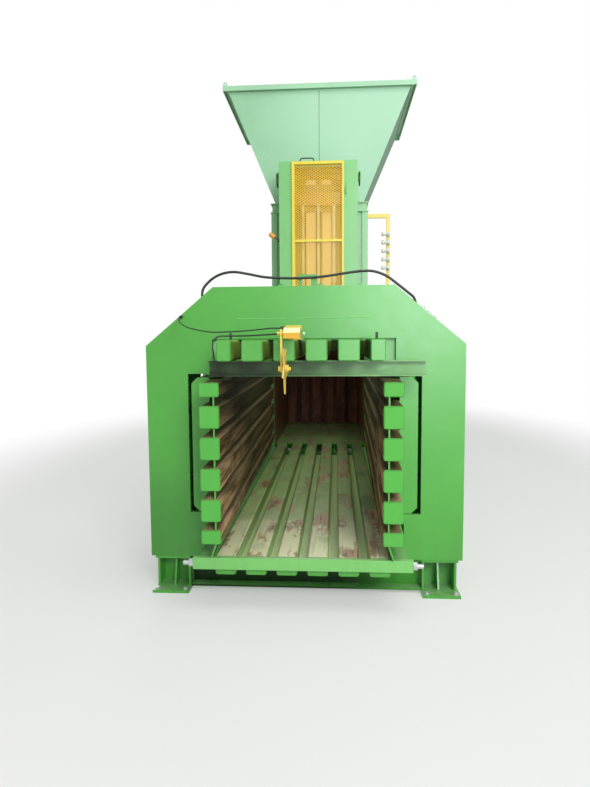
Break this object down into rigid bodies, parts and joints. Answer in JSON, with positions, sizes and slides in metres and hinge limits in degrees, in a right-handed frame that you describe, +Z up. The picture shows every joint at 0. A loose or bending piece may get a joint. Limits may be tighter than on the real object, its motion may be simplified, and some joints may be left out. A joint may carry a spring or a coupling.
{
  "type": "horizontal channel baler",
  "caption": "Horizontal channel baler with a green tension frame at its outlet, pinch walls built of rails, a needle tower with a yellow mesh door and a flared feed hopper",
  "frame": {"origin": "centre of the base on the ground, at mid length and mid width of the bounding box", "axes": "+Z up, +Y from the bale outlet towards the rear, +X to the right seen from the outlet"},
  "size_m": [2.526, 9.7988, 5.0919],
  "materials": {
    "green_paint": "satin",
    "light_green_paint": "satin",
    "worn_green_paint": "matte",
    "grey_green_paint": "satin",
    "rusted_steel": "matte",
    "yellow_paint": "satin",
    "orange_paint": "satin",
    "bare_steel": "satin",
    "zinc_steel": "satin",
    "dark_steel": "satin",
    "black_rubber": "matte",
    "white_plastic": "matte"
  },
  "bodies": {
    "frame": {"portal_front_plate": "green_paint", "portal_rear_plate": "green_paint", "portal_rim": "green_paint", "base_frame": "green_paint", "frame_feet": "light_green_paint", "portal_top_lugs": "light_green_paint", "hose_fittings": "zinc_steel", "outlet_cross_channel": "grey_green_paint", "threshold_bar": "light_green_paint", "threshold_bolts": "zinc_steel", "floor_tubes": "worn_green_paint", "top_tubes": "green_paint", "channel_frames": "green_paint", "wall_hinge_pins": "bare_steel", "pinch_cylinders": "dark_steel", "tower_posts": "light_green_paint", "tower_head": "light_green_paint", "needle_guides": "bare_steel", "twister_housing": "grey_green_paint", "chamber_walls": "green_paint", "chamber_floor": "worn_green_paint", "shear_beam": "green_paint", "main_cylinder": "dark_steel", "rear_frame": "green_paint", "chute_box": "light_green_paint", "hopper_panels": "light_green_paint", "hopper_rim": "light_green_paint", "wire_guide_frame": "yellow_paint", "device_hood": "yellow_paint", "cable_glands": "black_rubber", "device_cable": "black_rubber", "device_lead": "black_rubber", "pinch_hose": "black_rubber"},
    "ram": {"ram_head": "rusted_steel", "ram_body": "green_paint", "main_rod": "zinc_steel"},
    "left_wall": {"left_wall_rails": "worn_green_paint", "left_wall_plates": "green_paint"},
    "right_wall": {"right_wall_rails": "worn_green_paint", "right_wall_plates": "green_paint"},
    "left_pinch": {"left_pinch_rods": "zinc_steel"},
    "right_pinch": {"right_pinch_rods": "zinc_steel"},
    "guard_door": {"guard_door_frame": "yellow_paint", "guard_door_mesh": "yellow_paint"},
    "latch": {"door_latch": "orange_paint"},
    "needle_bar": {"needle_carriage": "grey_green_paint", "carriage_drive": "grey_green_paint", "needles": "bare_steel"},
    "wheel_swing_arm": {"wheel_arm": "yellow_paint"},
    "measuring_wheel": {"star_wheel": "yellow_paint"},
    "twister_1": {"twister_hook_1": "bare_steel"},
    "roller_1": {"wire_roller_1": "white_plastic"},
    "twister_2": {"twister_hook_2": "bare_steel"},
    "roller_2": {"wire_roller_2": "white_plastic"},
    "twister_3": {"twister_hook_3": "bare_steel"},
    "roller_3": {"wire_roller_3": "white_plastic"},
    "twister_4": {"twister_hook_4": "bare_steel"},
    "roller_4": {"wire_roller_4": "white_plastic"},
    "twister_5": {"twister_hook_5": "bare_steel"},
    "roller_5": {"wire_roller_5": "white_plastic"}
  },
  "joints": [
    {"name": "ram_stroke", "type": "slide", "parent": "frame", "child": "ram", "axis": [0, -1, 0], "range_m": [0, 2.14]},
    {"name": "left_wall_hinge", "type": "hinge", "parent": "frame", "child": "left_wall", "pos_m": [-0.6325, -0.62057, 0.9], "axis": [0, 0, 1], "range_deg": [-0.25, 1]},
    {"name": "right_wall_hinge", "type": "hinge", "parent": "frame", "child": "right_wall", "pos_m": [0.6325, -0.62057, 0.9], "axis": [0, 0, 1], "range_deg": [-1, 0.25]},
    {"name": "left_pinch_slide", "type": "slide", "parent": "frame", "child": "left_pinch", "axis": [1, 0, 0], "range_m": [-0.0155, 0.06]},
    {"name": "right_pinch_slide", "type": "slide", "parent": "frame", "child": "right_pinch", "axis": [1, 0, 0], "range_m": [-0.06, 0.0155]},
    {"name": "door_hinge", "type": "hinge", "parent": "frame", "child": "guard_door", "pos_m": [0.34, -0.62557, 3], "axis": [0, 0, 1], "range_deg": [0, 110]},
    {"name": "latch_turn", "type": "hinge", "parent": "frame", "child": "latch", "pos_m": [-0.495, -0.54557, 2.965], "axis": [1, 0, 0], "range_deg": [0, 90]},
    {"name": "needle_stroke", "type": "slide", "parent": "frame", "child": "needle_bar", "axis": [0, 0, -1], "range_m": [0, 1.42]},
    {"name": "wheel_arm_swing", "type": "hinge", "parent": "frame", "child": "wheel_swing_arm", "pos_m": [-0.098, -4.76057, 1.75], "axis": [1, 0, 0], "range_deg": [-35, 0]},
    {"name": "measuring_wheel_turn", "type": "hinge", "parent": "wheel_swing_arm", "child": "measuring_wheel", "pos_m": [-0.08, -4.76057, 1.548], "axis": [1, 0, 0], "continuous": true},
    {"name": "twister_1_turn", "type": "hinge", "parent": "frame", "child": "twister_1", "pos_m": [-0.39, -0.37057, 0.18], "axis": [0, 0, 1], "continuous": true},
    {"name": "twister_2_turn", "type": "hinge", "parent": "frame", "child": "twister_2", "pos_m": [-0.195, -0.37057, 0.18], "axis": [0, 0, 1], "continuous": true},
    {"name": "twister_3_turn", "type": "hinge", "parent": "frame", "child": "twister_3", "pos_m": [0, -0.37057, 0.18], "axis": [0, 0, 1], "continuous": true},
    {"name": "twister_4_turn", "type": "hinge", "parent": "frame", "child": "twister_4", "pos_m": [0.195, -0.37057, 0.18], "axis": [0, 0, 1], "continuous": true},
    {"name": "twister_5_turn", "type": "hinge", "parent": "frame", "child": "twister_5", "pos_m": [0.39, -0.37057, 0.18], "axis": [0, 0, 1], "continuous": true},
    {"name": "roller_1_turn", "type": "hinge", "parent": "frame", "child": "roller_1", "pos_m": [0.88, -0.01657, 2.67], "axis": [1, 0, 0], "continuous": true},
    {"name": "roller_2_turn", "type": "hinge", "parent": "frame", "child": "roller_2", "pos_m": [0.88, -0.01657, 2.78], "axis": [1, 0, 0], "continuous": true},
    {"name": "roller_3_turn", "type": "hinge", "parent": "frame", "child": "roller_3", "pos_m": [0.88, -0.01657, 2.89], "axis": [1, 0, 0], "continuous": true},
    {"name": "roller_4_turn", "type": "hinge", "parent": "frame", "child": "roller_4", "pos_m": [0.88, -0.01657, 3], "axis": [1, 0, 0], "continuous": true},
    {"name": "roller_5_turn", "type": "hinge", "parent": "frame", "child": "roller_5", "pos_m": [0.88, -0.01657, 3.11], "axis": [1, 0, 0], "continuous": true}
  ],
  "couplings": [
    {"joint": "left_pinch_slide", "follows": "left_wall_hinge", "m_per_rad": 3.393},
    {"joint": "right_pinch_slide", "follows": "right_wall_hinge", "m_per_rad": 3.393},
    {"joint": "twister_2_turn", "follows": "twister_1_turn", "ratio": 1},
    {"joint": "twister_3_turn", "follows": "twister_1_turn", "ratio": 1},
    {"joint": "twister_4_turn", "follows": "twister_1_turn", "ratio": 1},
    {"joint": "twister_5_turn", "follows": "twister_1_turn", "ratio": 1}
  ]
}
